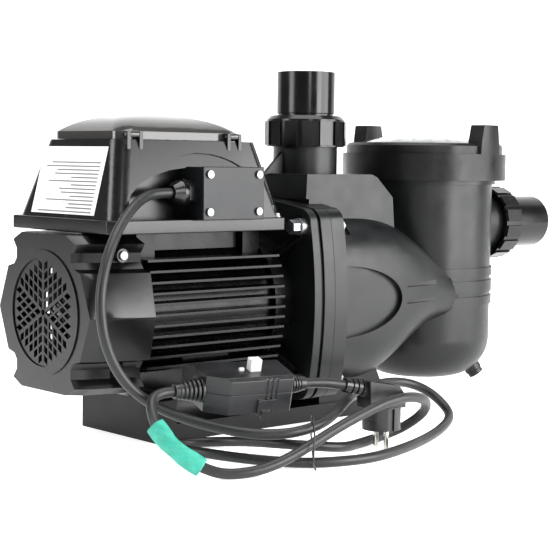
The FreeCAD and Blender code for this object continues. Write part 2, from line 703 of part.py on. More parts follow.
# ---------------------------------------------------------------- unions
def make_union(name, centre, rotation, face, end):
    """A solvent-weld tailpiece and its nut, pushed on to a port whose face is at `face`."""
    stub = size("stub_radius")
    bore = size("stub_bore")
    tail = drum(stub - 1.2, face + 0.4, end, centre, rotation)
    socket_end = drum(stub, face + 20, end, centre, rotation)
    collar = drum(36.5, face + 0.4, face + 7.4, centre, rotation)
    tail = fused([tail, socket_end, collar]).cut(drum(bore, face, end + 1, centre, rotation))
    tail = tail.cut(drum(26, face, face + 4, centre, rotation))
    solid_node(name + "_tailpiece", tail)

    low = face - 16
    high = low + size("nut_long")
    root = size("nut_radius") - 1.6
    shoulder = Part.makeCone(root, root - 4, 4, Vector(0, 0, high - 4))
    shoulder.Placement = Placement(centre, rotation)
    body = fused([drum(root, low, high - 4, centre, rotation), shoulder])
    pads = []
    for i in range(14):
        pad = block(root - 3, size("nut_radius"), -7, 7, low + 1.5, high - 6)
        pad.rotate(Vector(), Vector(0, 0, 1), i * 360 / 14)
        pad.Placement = Placement(centre, rotation).multiply(pad.Placement)
        pads.append(pad)
    nut = fused([body] + pads)
    nut = nut.cut(drum(38.05, low - 1, face + 7.8, centre, rotation))
    nut = nut.cut(drum(stub + 0.4, low, high + 1, centre, rotation))
    solid_node(name + "_nut", nut)


def make_unions():
    make_union("discharge", Vector(), UP, size("neck_end"), size("discharge_top"))
    at_inlet = Vector(0, 0, size("inlet_height"))
    make_union("inlet", at_inlet, ALONG_X, size("nozzle_end"), size("inlet_end"))
    seals = [Part.makeTorus(32, 2.0, Vector(0, 0, size("neck_end") - 1.9)),
             Part.makeTorus(32, 2.0, Vector(size("nozzle_end") - 1.9, 0, size("inlet_height")), Vector(1, 0, 0))]
    solid_node("union_seals", Part.makeCompound(seals))
    plug = fused([drum(5.95, 42, 52, DRAIN_SPOT, DRAIN_TURN), drum(9, 50.3, 56, DRAIN_SPOT, DRAIN_TURN)])
    solid_node("drain_plug", plug)


# ---------------------------------------------------------------- inverter box
# outlines on the near wall, as (x, z): the pocket round the cable gland, its back wall, and the arched step
GLAND_POCKET = [(-297, 217), (-296, 230), (-291, 241), (-279, 251), (-262, 259), (-240, 264.5), (-219, 267),
                (-219, 217)]
GLAND_POCKET_BACK = [(-299, 217), (-298.5, 231), (-293, 243), (-280.5, 253.6), (-263, 261.8), (-240.5, 267.4),
                     (-216, 270), (-216, 217)]
ARCH_LINE = [(-297, 217), (-297, 237), (-295, 241.5), (-279, 253.4), (-263, 262.7), (-246, 271.3), (-226, 278.1),
             (-207, 281.2), (-188, 280.5), (-174, 277.7), (-162, 273.9), (-150, 268), (-138, 260), (-134, 217)]
EARTH_SPOT = Vector(-112, -79, 0)


def wall_prism(outline, floor_y):
    """A prism standing on the near wall, from outside it to the plane y = floor_y."""
    return prism([Vector(x, -100, z) for x, z in outline], Vector(0, floor_y + 100, 0))


def make_inverter():
    deck_rear = size("deck_rear")
    deck_front = size("deck_front")
    half = size("deck_half")
    outline = [("Sizes.deck_rear", "-Sizes.deck_half + 6"), ("Sizes.deck_rear + 6", "-Sizes.deck_half"),
               ("Sizes.deck_front - 6", "-Sizes.deck_half"), ("Sizes.deck_front", "-Sizes.deck_half + 6"),
               ("Sizes.deck_front", "Sizes.deck_half - 6"), ("Sizes.deck_front - 6", "Sizes.deck_half"),
               ("Sizes.deck_rear + 6", "Sizes.deck_half"), ("Sizes.deck_rear", "Sizes.deck_half - 6")]
    deck = milled("inverter_deck", outline, "Sizes.deck_top - Sizes.deck_under",
                  Vector(0, 0, size("deck_under")))
    node("inverter_deck", deck)

    low = size("deck_top")
    top = size("case_top")
    outer = lofted([rounded_wire(-315, -103, -84, 84, low, 16), rounded_wire(-296, -121, -62, 62, top, 16)])
    inner = lofted([rounded_wire(-312, -106, -81, 81, low, 14),
                    rounded_wire(-293.5, -124, -59.5, 59.5, top - 3, 14)])
    pocket = wall_prism(GLAND_POCKET, -57)
    backing = wall_prism(GLAND_POCKET_BACK, -54)
    arch = wall_prism(ARCH_LINE, -40)
    set_in = outer.copy()
    set_in.translate(Vector(0, 1.5, 0))
    notch = drum(6.6, low - 1, low + 12, EARTH_SPOT)
    notch_back = drum(9.0, low - 1, low + 14.5, EARTH_SPOT)
    hollow = inner.cut(backing).cut(notch_back)
    case = outer.cut(arch.cut(set_in)).cut(pocket).cut(notch).cut(hollow)
    window = block(-277, -157, -43, 43, top - 5, top + 1)
    case = case.cut(window)
    ears = []
    axis_y = size("hinge_y")
    axis_z = size("hinge_z")
    for x in (-278, -156):
        for start in (x - 9, x + 5.2):
            ears.append(block(start, start + 3.8, axis_y - 3.5, axis_y + 2.5, 284, axis_z + 2.6))
    case = fused([case] + ears).cut(hollow)
    box = block(size("box_rear"), size("box_front"), -92, -60, low, size("box_top"))
    case = case.cut(box)
    for x in (-278, -156):
        case = case.cut(drum(1.5, x - 12, x + 12, Vector(0, axis_y, axis_z), ALONG_X))
    solid_node("inverter_case", case)
    pins = [drum(1.5, x - 9, x + 9, Vector(0, axis_y, axis_z), ALONG_X) for x in (-278, -156)]
    solid_node("lid_hinge_pins", Part.makeCompound(pins))

    panel = block(-277, -157, -43, 43, top - 5, top - 1)
    keys = [(-240, -22), (-218, -22), (-196, -22), (-174, -22)]
    for x, y in keys:
        panel = panel.cut(drum(6.4, top - 8, top + 2, Vector(x, y, 0)))
    screen = block(-250, -184, 4, 32, top - 1, top - 0.4)
    solid_node("keypad_panel", panel.fuse(screen))
    for name, (x, y) in zip(("run_key", "slower_key", "faster_key", "mode_key"), keys):
        profile = [("0", "Sizes.case_top - 7"), ("8", "Sizes.case_top - 7"), ("8", "Sizes.case_top - 5.4"),
                   ("6", "Sizes.case_top - 5.4"), ("6", "Sizes.case_top + 1.5"), ("0", "Sizes.case_top + 1.5")]
        node(name, turned(name, profile, Vector(x, y, 0)))
    board = block(-285, -135, -52, 52, 262, 264)
    parts = [board, block(-270, -235, -35, -5, 264, 280), block(-160, -145, 10, 40, 264, 276)]
    for x in (-275, -145):
        for y in (-42, 42):
            parts.append(drum(3, low, 262, Vector(x, y, 0)))
    solid_node("inverter_board", fused(parts))

    base = top + 0.4
    shell = lofted([rounded_wire(-291, -138, -57.5, 58, base, 15), rounded_wire(-291, -138, -57.5, 58, 301, 15)])
    crown = lofted([rounded_wire(-291, -138, -57.5, 58, 301, 15), rounded_wire(-277, -152, -44, 44, 310, 15),
                    rounded_wire(-258, -171, -26, 26, 316, 15), rounded_wire(-240, -189, -16, 16, 318, 15)], False)
    hollow = lofted([rounded_wire(-288.5, -140.5, -55, 55.5, base - 1, 13),
                     rounded_wire(-288.5, -140.5, -55, 55.5, 300, 13)])
    vault = lofted([rounded_wire(-288.5, -140.5, -55, 55.5, 300, 13), rounded_wire(-275, -154, -42, 42, 307.6, 13),
                    rounded_wire(-257, -172, -25, 25, 313.4, 13), rounded_wire(-240, -189, -15, 15, 315.4, 13)], False)
    lid = fused([shell, crown]).cut(hollow).cut(vault)
    knuckles = []
    for x in (-278, -156):
        knuckles.append(drum(3.4, x - 4.8, x + 4.8, Vector(0, axis_y, axis_z), ALONG_X))
        knuckles.append(block(x - 4.8, x + 4.8, axis_y, -56, axis_z - 1.5, axis_z + 2.5))
    lid = fused([lid] + knuckles)
    for x in (-278, -156):
        lid = lid.cut(drum(1.55, x - 10, x + 10, Vector(0, axis_y, axis_z), ALONG_X))
    solid_node("inverter_lid", lid)


def make_terminal_box():
    rear = size("box_rear")
    front = size("box_front")
    low = size("deck_top")
    top = size("box_top")
    face = size("box_face")
    shell = block(rear, front, face + 3, -60, low, top)
    shell = shell.cut(block(rear + 3, front - 3, face + 2, -63, low + 3, top - 3))
    spots = [(x, z) for x in (rear + 7, front - 7) for z in (low + 7, top - 7)]
    bosses = [block(x - 4.5, x + 4.5, face + 3, -63, z - 4.5, z + 4.5) for x, z in spots]
    shell = fused([shell] + bosses)
    gland = Vector(0, size("gland_y"), size("gland_z"))
    shell = shell.cut(drum(8, rear - 2, rear + 5, gland, ALONG_X))
    cover = block(rear - 0.5, front + 0.5, face, face + 3, low - 1, top + 0.5)
    cover = cover.makeFillet(1.2, [e for e in cover.Edges if e.BoundBox.YMax < face + 0.01])
    screws = []
    for x, z in spots:
        spot = Vector(x, face + 18, z)
        shell = shell.cut(drum(2.0, 0, 20, spot, TOWARDS_NEAR))
        cover = cover.cut(drum(2.2, 0, 25, spot, TOWARDS_NEAR))
        screws.append(fused([drum(2.0, 4, 18, spot, TOWARDS_NEAR), drum(4.0, 18, 20.4, spot, TOWARDS_NEAR)]))
    solid_node("terminal_box", shell)
    solid_node("terminal_cover", cover)
    solid_node("cover_screws", Part.makeCompound(screws))

    cord = size("cord_diameter") / 2
    body = fused([hex_prism(24, rear - 8, rear, gland, ALONG_X), drum(8, rear - 8, rear + 4.5, gland, ALONG_X),
                  drum(9.5, rear - 12, rear - 8, gland, ALONG_X)])
    solid_node("gland_body", body.cut(drum(cord, rear - 20, rear + 6, gland, ALONG_X)))
    dome = Part.makeCone(7.5, 12.4, 9, Vector(0, 0, rear - 22))
    dome.Placement = Placement(gland, ALONG_X)
    nut = fused([dome, drum(12.4, rear - 13, rear - 8, gland, ALONG_X)])
    nut = nut.cut(drum(9.5, rear - 12, rear - 8, gland, ALONG_X))
    solid_node("gland_nut", nut.cut(drum(cord, rear - 25, rear, gland, ALONG_X)))

    screw = fused([drum(5.2, low, low + 1.4, EARTH_SPOT), drum(4.0, low + 1.4, low + 4.2, EARTH_SPOT)])
    solid_node("ground_screw", screw)
    case_rear = -315
    lean = 19 / (size("case_top") - low)
    corners = [(-50, 221.5), (57, 221.5), (57, 286), (-50, 286)]
    label = [Vector(case_rear + lean * (z - low), y, z) for y, z in corners]
    solid_node("rating_plate", prism(label, Vector(-0.35, 0, 0)))


# ---------------------------------------------------------------- base
def make_base(housing):
    half = size("base_half")
    rear = size("base_rear")
    floor = block(rear, 45, -half, half, 0, 17)
    heel = block(rear, rear + 25, -half, half, 17, 41)
    saddle = block(-205, -145, -46, 46, 17, 41)
    pieces = [floor, heel, saddle]
    for side in (-1, 1):
        foot = Vector(-215, side * 46, 17)
        curve = Part.Arc(Vector(-215, side * 46, 39), Vector(-215, side * 51, 25), Vector(-215, side * 62, 17))
        edges = [curve.toShape(), Part.makeLine(Vector(-215, side * 62, 17), foot),
                 Part.makeLine(foot, Vector(-215, side * 46, 39))]
        pieces.append(Part.Face(Part.Wire(edges)).extrude(Vector(75, 0, 0)))
    toe = prism([Vector(-30, -60, 0), Vector(45, -60, 0), Vector(64, -60, 32), Vector(50, -60, 60),
                 Vector(-30, -60, 60)], Vector(0, 120, 0))
    pieces.append(toe)
    base = fused(pieces)
    base = base.cut(block(-88, -30, -70, 70, 17, 80))
    for x in (-236, 4):
        for side in (-1, 1):
            slot = fused([block(x - 5.5, x + 5.5, side * 50 - 4.5, side * 50 + 4.5, -1, 90),
                          drum(4.5, -1, 90, Vector(x - 5.5, side * 50, 0)),
                          drum(4.5, -1, 90, Vector(x + 5.5, side * 50, 0))])
            base = base.cut(slot)
    for shape in housing:
        base = base.cut(shape)
    base = max(base.Solids, key=lambda piece: piece.Volume)
    solid_node("base", base)


# ---------------------------------------------------------------- mains lead with its breaker and plug
LEAD_HEADING = -14.6
LEAD_WAY = Vector(math.cos(math.radians(LEAD_HEADING)), math.sin(math.radians(LEAD_HEADING)), 0)
BREAKER_SPOT = Vector(-235.6, -174.6, 68.5)
BREAKER_TURN = Rotation(Vector(0, 0, 1), LEAD_HEADING).multiply(Rotation(Vector(1, 0, 0), 15))
BREAKER_HALF = 42.0
PLUG_SPOT = Vector(-92, -212, 0)
PLUG_TURN = Rotation(Vector(0, 0, 1), LEAD_HEADING)
PLUG_FACE = 19.5

# from the gland round the fan cowl, along the floor in a tied bundle, and up to the breaker
SUPPLY_ROUTE = [
    (-241, -72, 243), (-259, -72, 243), (-277, -77, 239), (-300, -89, 229), (-326, -104, 211),
    (-349, -118, 184), (-362, -127, 148), (-358, -131, 109), (-340, -135, 76), (-317, -146, 56),
    (-291, -168, 42), (-260, -203, 33), (-240, -221, 32), (-219, -230, 33), (-190, -231, 37),
    (-157, -217, 43), (-114, -188, 48), (-64, -163, 50), (-13, -141, 49), (18, -141, 46),
    (36, -153, 38), (41, -173, 25), (32, -192, 15), (-4, -211, 9), (-42, -223, 4.75), (-89, -241, 4.75),
    (-139, -254, 4.75), (-175, -250, 4.75), (-208, -237, 4.75), (-238, -216, 7), (-257, -194, 9),
    (-273, -168, 11), (-280, -138, 11), (-272, -110, 9), (-248, -95, 6), (-221, -102, 5),
    (-206, -124, 7), (-201, -149, 10), (-197, -174, 12), (-191, -194, 13), (-173, -211, 12),
    (-145, -215, 8), (-110, -199, 4.75), (-70, -187, 4.75), (-48, -194, 11), (-38, -207, 22),
    (-40, -223, 35), (-60, -239, 49), (-91, -246, 55), (-122, -247, 53), (-152, -246, 45),
    (-182, -244, 35), (-212, -242, 23), (-239, -240, 13), (-262, -237, 7), (-280, -233, 4.75),
    (-300, -225, 4.75), (-316, -215, 11), (-328, -205, 21), (-336, -193, 32), (-339, -179, 45),
    (-330, -159, 62), (-315.5, -153.8, 68.5), (-302, -157.3, 68.5),
]
PLUG_ROUTE = [(-183.9, -188.1, 68.5), (-164.5, -193.1, 68.5), (-143.5, -198.6, 66.6), (-124.9, -203.4, 62.7)]
BOOT_BORE_DEPTH = 10.0
PLUG_BORE_DEPTH = 8.0
TAG_RUNS = (57, 60)
TIE_LOOP = [(-196, -226, 45), (-216, -250, 34), (-219, -252, 8), (-212, -248, 1.0),
            (-198, -230, 1.0), (-178, -208, 3), (-176, -203, 22), (-186, -214, 42)]


def cord_tube(name, route, radius):
    """A round cord along a route, with its length and bends printed and its volume checked."""
    tube, path, radii = swept_round([Vector(*point) for point in route], radius)
    wanted = math.pi * radius ** 2 * path.Length
    print(f"{name}: {path.Length:.0f} mm long, bends {[round(value) for value in radii]} mm, "
          f"volume {tube.Volume / wanted:.4f} of section times length")
    return tube


def breaker_outline(inset):
    """The breaker's plan: a long box with one long chamfer at the near end of its supply side."""
    half = BREAKER_HALF - inset
    deep = 20 - inset
    return [Vector(-half, deep - 2, 0), Vector(-half + 2, deep, 0), Vector(half - 2, deep, 0),
            Vector(half, deep - 2, 0), Vector(half, -deep + 2, 0), Vector(half - 2, -deep, 0),
            Vector(-22 + inset, -deep, 0), Vector(-half, -8 + inset * 0.5, 0)]


def breaker_slab(inset, low, high):
    """The breaker's plan as a slab between two heights."""
    return prism([point + Vector(0, 0, low) for point in breaker_outline(inset)], Vector(0, 0, high - low))


def ribbed_relief(length, wide, narrow, rings):
    """A tapered strain relief along +X from the origin, its grip rings standing proud."""
    cone = drum(narrow, 0, length, Vector(), ALONG_X)
    pieces = [cone]
    pitch = (length - 3) / rings
    for i in range(rings):
        radius = wide + (narrow + 0.8 - wide) * i / (rings - 1)
        pieces.append(drum(radius, i * pitch, i * pitch + 0.62 * pitch, Vector(), ALONG_X))
    return fused(pieces)


def make_breaker():
    place = Placement(BREAKER_SPOT, BREAKER_TURN)
    seam = 1.0
    base = breaker_slab(0, -18, seam).cut(breaker_slab(2.2, -15.8, seam + 1))
    clip = fused([block(6, 22, -22.5, -19, -19, -4), block(10, 18, -24, -20, -23, -14)])
    base = fused([base, clip])
    cover = breaker_slab(0, seam, 17).cut(breaker_slab(2.2, seam - 1, 14.8))
    bevel = prism([Vector(-50, -21, 13), Vector(-50, -21, 18), Vector(-50, -15.5, 18)], Vector(100, 0, 0))
    cover = cover.cut(bevel)
    for x in (14, 19, 24):
        slot = block(x - 1, x + 1, -21, -18.9, -5, 18)
        base = base.cut(slot)
        cover = cover.cut(slot)
    buttons = {"test_button": (-4, 2.5, 1.5, 19.5), "reset_button": (8.5, 5.5, 4.5, 28)}
    for name, (x, half_x, half_y, top) in buttons.items():
        gap = 0.3
        cover = cover.cut(block(x - half_x - gap, x + half_x + gap, -half_y - gap, half_y + gap, 10, 20))
        stem = block(x - half_x, x + half_x, -half_y, half_y, 14.2, top)
        stem = stem.makeFillet(0.8, [e for e in stem.Edges if e.BoundBox.ZMax > top - 0.01])
        foot = block(x - half_x - 1.2, x + half_x + 1.2, -half_y - 1.2, half_y + 1.2, 12.6, 14.4)
        button = fused([stem, foot])
        button.Placement = place
        solid_node(name, button)
    left = ribbed_relief(26.6, 11.5, 7.0, 6)
    left.rotate(Vector(), Vector(0, 0, 1), 180)
    left.translate(Vector(-BREAKER_HALF, 0, 0))
    right = ribbed_relief(21.4, 10.0, 6.5, 6)
    right.translate(Vector(BREAKER_HALF, 0, 0))
    boot_end = BREAKER_HALF + 21.4
    bore = size("cord_diameter") / 2
    right = right.cut(drum(bore, boot_end - BOOT_BORE_DEPTH, boot_end + 1, Vector(), ALONG_X))
    for name, shape in (("breaker_base", base), ("breaker_cover", cover),
                        ("breaker_reliefs", Part.makeCompound([left, right]))):
        shape.Placement = place
        solid_node(name, shape)


def make_plug():
    place = Placement(PLUG_SPOT, PLUG_TURN)
    disc = drum(18.5, PLUG_FACE, 42)
    for side in (-1, 1):
        low, high = sorted((side * 16, side * 20))
        disc = disc.cut(block(-3.5, 3.5, low, high, PLUG_FACE - 1, 41))
    top = prism([Vector(x, -13, z) for x, z in ((-19.5, 41), (-20.5, 67.5), (12, 62), (19, 52), (19, 41))],
                Vector(0, 26, 0))
    body = fused([disc, top])
    bottom = Vector(*PLUG_ROUTE[-1])
    relief_way = bottom - Vector(*PLUG_ROUTE[-2])
    relief_way.normalize()
    start = bottom - relief_way * PLUG_BORE_DEPTH
    relief = Part.makeCone(6.6, 8.2, 24, start, relief_way)
    for i in range(3):
        ring = Part.makeCylinder(9, 1.8, start + relief_way * (6 + 5.5 * i), relief_way)
        core = Part.makeCylinder(5.8, 60, start - relief_way * 5, relief_way)
        relief = relief.cut(ring.cut(core))
    body.Placement = place
    body = fused([body, relief])
    cord_bore = Part.makeCylinder(size("cord_diameter") / 2, PLUG_BORE_DEPTH + 1, start - relief_way, relief_way)
    body = body.cut(cord_bore)
    pins = []
    for side in (-1, 1):
        pin = drum(2.4, 0.5, PLUG_FACE + 8, Vector(0, side * 9.5, 0))
        pin = pin.makeFillet(1.6, [e for e in pin.Edges if e.BoundBox.ZMax < 0.6])
        pin.Placement = place.multiply(pin.Placement)
        body = body.cut(pin)
        pins.append(pin)
    solid_node("plug_body", body)
    solid_node("plug_pins", Part.makeCompound(pins))


def flat_sleeve(route, half_wide, thick):
    """A band of tape folded round a cord: one flat box for each run, joined at the corners."""
    pieces = []
    view = Vector(0.67, 0.74, 0)
    for a, b in zip(route, route[1:]):
        start = Vector(*a)
        along = Vector(*b) - start
        across = along.cross(view)
        across.normalize()
        through = along.cross(across)
        through.normalize()
        corner = start - across * half_wide - through * (thick / 2)
        outline = [corner, corner + across * 2 * half_wide,
                   corner + across * 2 * half_wide + through * thick, corner + through * thick]
        pieces.append(prism(outline, along))
    return fused(pieces)


def make_lead():
    radius = size("cord_diameter") / 2
    supply = cord_tube("supply_cord", SUPPLY_ROUTE, radius)
    solid_node("supply_cord", supply)
    solid_node("plug_cord", cord_tube("plug_cord", PLUG_ROUTE, radius))
    first, last = TAG_RUNS
    tag = flat_sleeve(SUPPLY_ROUTE[first:last + 1], 8, 11.1)
    solid_node("lead_tag", tag)
    stack = [Vector(*point) for point in TIE_LOOP]
    ring = [Part.makeCylinder(0.8, (b - a).Length, a, b - a) for a, b in zip(stack, stack[1:] + stack[:1])]
    knees = [Part.makeSphere(0.8, corner) for corner in stack]
    solid_node("lead_tie", fused(ring + knees))


make_rotor()
make_motor()
make_cowl()
housing_shapes = make_wet_end()
make_inside()
make_strainer()
make_unions()
make_inverter()
make_terminal_box()
make_base(housing_shapes)
make_breaker()
make_plug()
make_lead()

doc.recompute()
os.makedirs("parts", exist_ok=True)
for item in doc.Objects:
    if "Invalid" in item.State or "Error" in item.State:
        raise RuntimeError(f"{item.Label} failed: {item.State}")
for item in NODES:
    shape = item.Shape
    if shape.isNull() or not shape.isValid():
        raise RuntimeError(f"{item.Label} has no valid shape")
    shape.exportStep(os.path.join("parts", item.Label + ".step"))
    box = shape.BoundBox
    print(f"{item.Label:22s} solids {len(shape.Solids)} volume {shape.Volume / 1000:9.2f} cm3 "
          f"z {box.ZMin:7.1f}..{box.ZMax:7.1f}")
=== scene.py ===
"""Looks of the pool pump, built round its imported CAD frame. Metres, +Z up, +X towards the suction port."""
import json
import math

import bmesh
import bpy
import numpy as np
from mathutils import Matrix, Vector


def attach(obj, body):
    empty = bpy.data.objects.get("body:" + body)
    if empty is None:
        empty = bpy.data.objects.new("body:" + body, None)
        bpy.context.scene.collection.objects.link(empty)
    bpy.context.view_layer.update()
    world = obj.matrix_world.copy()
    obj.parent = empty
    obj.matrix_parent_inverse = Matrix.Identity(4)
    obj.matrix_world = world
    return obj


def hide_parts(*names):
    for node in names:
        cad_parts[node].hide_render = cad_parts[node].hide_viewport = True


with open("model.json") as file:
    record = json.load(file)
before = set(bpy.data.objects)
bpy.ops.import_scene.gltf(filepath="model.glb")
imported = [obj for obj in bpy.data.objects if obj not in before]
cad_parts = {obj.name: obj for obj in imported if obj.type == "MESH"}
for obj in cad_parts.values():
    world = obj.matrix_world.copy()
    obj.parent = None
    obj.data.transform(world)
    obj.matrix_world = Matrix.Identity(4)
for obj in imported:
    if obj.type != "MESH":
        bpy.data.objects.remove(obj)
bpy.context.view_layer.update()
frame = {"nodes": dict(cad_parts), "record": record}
MM = 0.001

# ---------------------------------------------------------------- wet end
# Volute with its discharge neck, strainer pot and seal plate: injection-moulded glass-filled polypropylene,
# matt black and faintly clouded by the glass fibre. Four zinc-plated M8 bolts hold the plate to the flange.
def linear(code):
    """An sRGB hex colour as linear red, green, blue and alpha."""
    channels = [int(code[i:i + 2], 16) / 255 for i in (0, 2, 4)]
    return tuple(c / 12.92 if c <= 0.04045 else ((c + 0.055) / 1.055) ** 2.4 for c in channels) + (1.0,)


def add(tree, kind, inputs=None, **settings):
    """A node with its settings. An input is a number or colour, or (node, output) for a link."""
    made = tree.nodes.new(kind)
    for key, value in settings.items():
        setattr(made, key, value)
    for key, value in (inputs or {}).items():
        if isinstance(value, tuple) and isinstance(value[0], bpy.types.Node):
            tree.links.new(value[0].outputs[value[1]], made.inputs[key])
        else:
            made.inputs[key].default_value = value
    return made


def ramp(tree, source, stops):
    """A colour ramp over a factor: (position, colour) stops."""
    made = add(tree, "ShaderNodeValToRGB", {"Fac": source})
    elements = made.color_ramp.elements
    while len(elements) < len(stops):
        elements.new(1.0)
    for element, (position, colour) in zip(elements, stops):
        element.position = position
        element.color = colour
    return made


def finish_of(name, dark, light, rough, grain, depth, cloud=45, spread=0.08, **extra):
    """A moulded or painted finish: cloudy colour between two tones, uneven gloss, and a fine grain.

    grain and cloud are sizes in mm; depth is the grain's height in mm; spread is how far the roughness
    strays to each side.
    """
    material = bpy.data.materials.new(name)
    material.use_nodes = True
    tree = material.node_tree
    tree.nodes.clear()
    where = add(tree, "ShaderNodeTexCoord")
    clouds = add(tree, "ShaderNodeTexNoise", {"Vector": (where, "Object"), "Scale": 1000 / cloud,
                                              "Detail": 5.0, "Roughness": 0.62})
    fine = add(tree, "ShaderNodeTexNoise", {"Vector": (where, "Object"), "Scale": 1000 / grain,
                                            "Detail": 3.0})
    tone = ramp(tree, (clouds, "Fac"), [(0.3, linear(dark)), (0.72, linear(light))])
    gloss = add(tree, "ShaderNodeMapRange", {"Value": (clouds, "Fac"), "From Min": 0.3, "From Max": 0.7,
                                             "To Min": rough - spread, "To Max": rough + spread})
    bump = add(tree, "ShaderNodeBump", {"Height": (fine, "Fac"), "Strength": 0.6, "Distance": depth * MM})
    shader = add(tree, "ShaderNodeBsdfPrincipled", {"Base Color": (tone, "Color"),
                                                    "Roughness": (gloss, "Result"),
                                                    "Normal": (bump, "Normal"), **extra})
    add(tree, "ShaderNodeOutputMaterial", {"Surface": (shader, "BSDF")})
    return material


BODY_OF = {node: body for body, nodes in frame["record"]["behaviour"]["bodies"].items() for node in nodes}


def paint(material, *nodes):
    """Give CAD nodes a finish."""
    for node in nodes:
        piece = frame["nodes"][node]
        piece.data.materials.clear()
        piece.data.materials.append(material)


def settle(piece, node, material):
    """A finished piece takes over from its CAD node, with that node's body."""
    piece.data.materials.clear()
    piece.data.materials.append(material)
    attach(piece, BODY_OF[node])
    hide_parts(node)
    return piece


def softened(name, node, material, edge, bend=28):
    """The node's own shape with its loose triangles merged and every edge sharper than `bend` rounded."""
    mesh = frame["nodes"][node].data.copy()
    mesh.name = name
    form = bmesh.new()
    form.from_mesh(mesh)
    bmesh.ops.remove_doubles(form, verts=form.verts, dist=2e-6)
    bmesh.ops.dissolve_limit(form, angle_limit=math.radians(0.6), verts=form.verts, edges=form.edges)
    for face in form.faces:
        face.smooth = True
    form.to_mesh(mesh)
    form.free()
    piece = bpy.data.objects.new(name, mesh)
    bpy.context.scene.collection.objects.link(piece)
    rounding = piece.modifiers.new("edge", "BEVEL")
    rounding.width = edge * MM
    rounding.segments = 2
    rounding.limit_method = "ANGLE"
    rounding.angle_limit = math.radians(bend)
    weighting = piece.modifiers.new("flats", "WEIGHTED_NORMAL")
    weighting.weight = 100
    weighting.keep_sharp = True
    return settle(piece, node, material)


def plated(name, tone, rough, grain=2.2):
    """A plated or machined metal: even colour, gloss broken by fine tool marks."""
    return finish_of(name, tone, tone, rough, grain, 0.004, cloud=6, spread=0.06, Metallic=1.0)


glass_filled = finish_of("glass_filled_polypropylene", "040505", "0A0C0E", 0.36, 1.2, 0.03,
                         cloud=30, spread=0.08, **{"Specular IOR Level": 0.34})
ring_moulding = finish_of("ring_moulding", "050506", "0C0D0F", 0.36, 1.2, 0.03, cloud=30, spread=0.10,
                          **{"Specular IOR Level": 0.28})
bright_steel = plated("bright_zinc", "86888B", 0.34)
softened("volute_casing", "pump_housing", glass_filled, 1.2)
softened("pot_moulding", "strainer_pot", glass_filled, 1.2)
softened("seal_plate_moulding", "seal_plate", glass_filled, 1.4)
softened("flange_bolt_set", "flange_bolts", bright_steel, 0.5)
softened("flange_nut_set", "flange_nuts", bright_steel, 0.4)
softened("lock_ring_moulding", "lock_ring", ring_moulding, 1.4)
softened("drain_knob", "drain_plug", glass_filled, 0.6)
softened("basket_moulding", "strainer_basket", glass_filled, 0.4)

# ---------------------------------------------------------------- clear strainer lid
# Injection-moulded clear polycarbonate dome, slightly smoky, with a polished face. The lock ring clamps its
# rim down on the rubber seal.
def clear_plastic(name, tint, rough, dense):
    """A clear or smoked plastic: mostly transmission, with a little cloud of its own tint."""
    polycarbonate = {"IOR": 1.585, "Transmission Weight": dense}
    return finish_of(name, tint, tint, rough, 3.0, 0.002, cloud=50, spread=0.02, **polycarbonate)


lid_clear = clear_plastic("clear_polycarbonate", "D9DEE0", 0.06, 0.9)
softened("lid_dome", "strainer_lid", lid_clear, 0.8)

# ---------------------------------------------------------------- unions
# Injection-moulded black PVC, polished: a plain pipe tail at each port, held by a ring nut with raised
# grip pads that is tightened by hand.
polished_pvc = finish_of("polished_pvc", "020203", "060607", 0.20, 3.0, 0.006, cloud=40, spread=0.05,
                         **{"Specular IOR Level": 0.34})
for union in ("discharge", "inlet"):
    softened(union + "_tail", union + "_tailpiece", polished_pvc, 0.9)
    softened(union + "_ring_nut", union + "_nut", polished_pvc, 0.8)

# ---------------------------------------------------------------- motor
# Die-cast aluminium under semi-gloss black paint: the finned frame, the front shield whose four arms reach
# the seal plate, and the rear shield inside the fan cowl.
motor_paint = finish_of("semi_gloss_motor_paint", "020203", "060607", 0.26, 1.6, 0.02, cloud=30, spread=0.08,
                        **{"Specular IOR Level": 0.22})
softened("finned_frame", "motor_frame", motor_paint, 0.5)
softened("front_shield_casting", "front_shield", motor_paint, 0.8)
softened("rear_shield_casting", "rear_shield", motor_paint, 0.6)

# ---------------------------------------------------------------- fan cowl and base
# Satin black ABS mouldings. The cowl's end face is a grille of diamond holes in six sectors, and four screws
# in its corner notches hold it on. The base is a duller, coarser moulding.
satin_abs = finish_of("satin_black_abs", "040405", "09090B", 0.24, 1.3, 0.010, cloud=60, spread=0.05,
                      **{"Specular IOR Level": 0.42})
base_abs = finish_of("base_abs", "030304", "08080A", 0.38, 1.4, 0.03, cloud=50, spread=0.08,
                     **{"Specular IOR Level": 0.22})
softened("cowl_moulding", "fan_cowl", satin_abs, 1.6, bend=20)
softened("cowl_screw_set", "cowl_screws", bright_steel, 0.5)
softened("base_moulding", "base", base_abs, 1.6)

# ---------------------------------------------------------------- inverter box
# Satin black ABS case on a deck plate, with a smoked polycarbonate lid that hinges up on two steel pins.
# Under the lid is the keypad, with four grey silicone keys.
softened("deck_plate", "inverter_deck", satin_abs, 1.2)
softened("inverter_shell", "inverter_case", satin_abs, 1.6)
smoked = clear_plastic("smoked_polycarbonate", "3A3937", 0.10, 0.4)
softened("smoked_cover", "inverter_lid", smoked, 1.2)
softened("hinge_pin_pair", "lid_hinge_pins", bright_steel, 0.2)
softened("keypad_plate", "keypad_panel", satin_abs, 0.4)
key_grey = finish_of("silicone_key_grey", "6D7073", "7C8084", 0.5, 0.9, 0.01)
for key in ("run", "slower", "faster", "mode"):
    softened(key + "_pad", key + "_key", key_grey, 0.4)

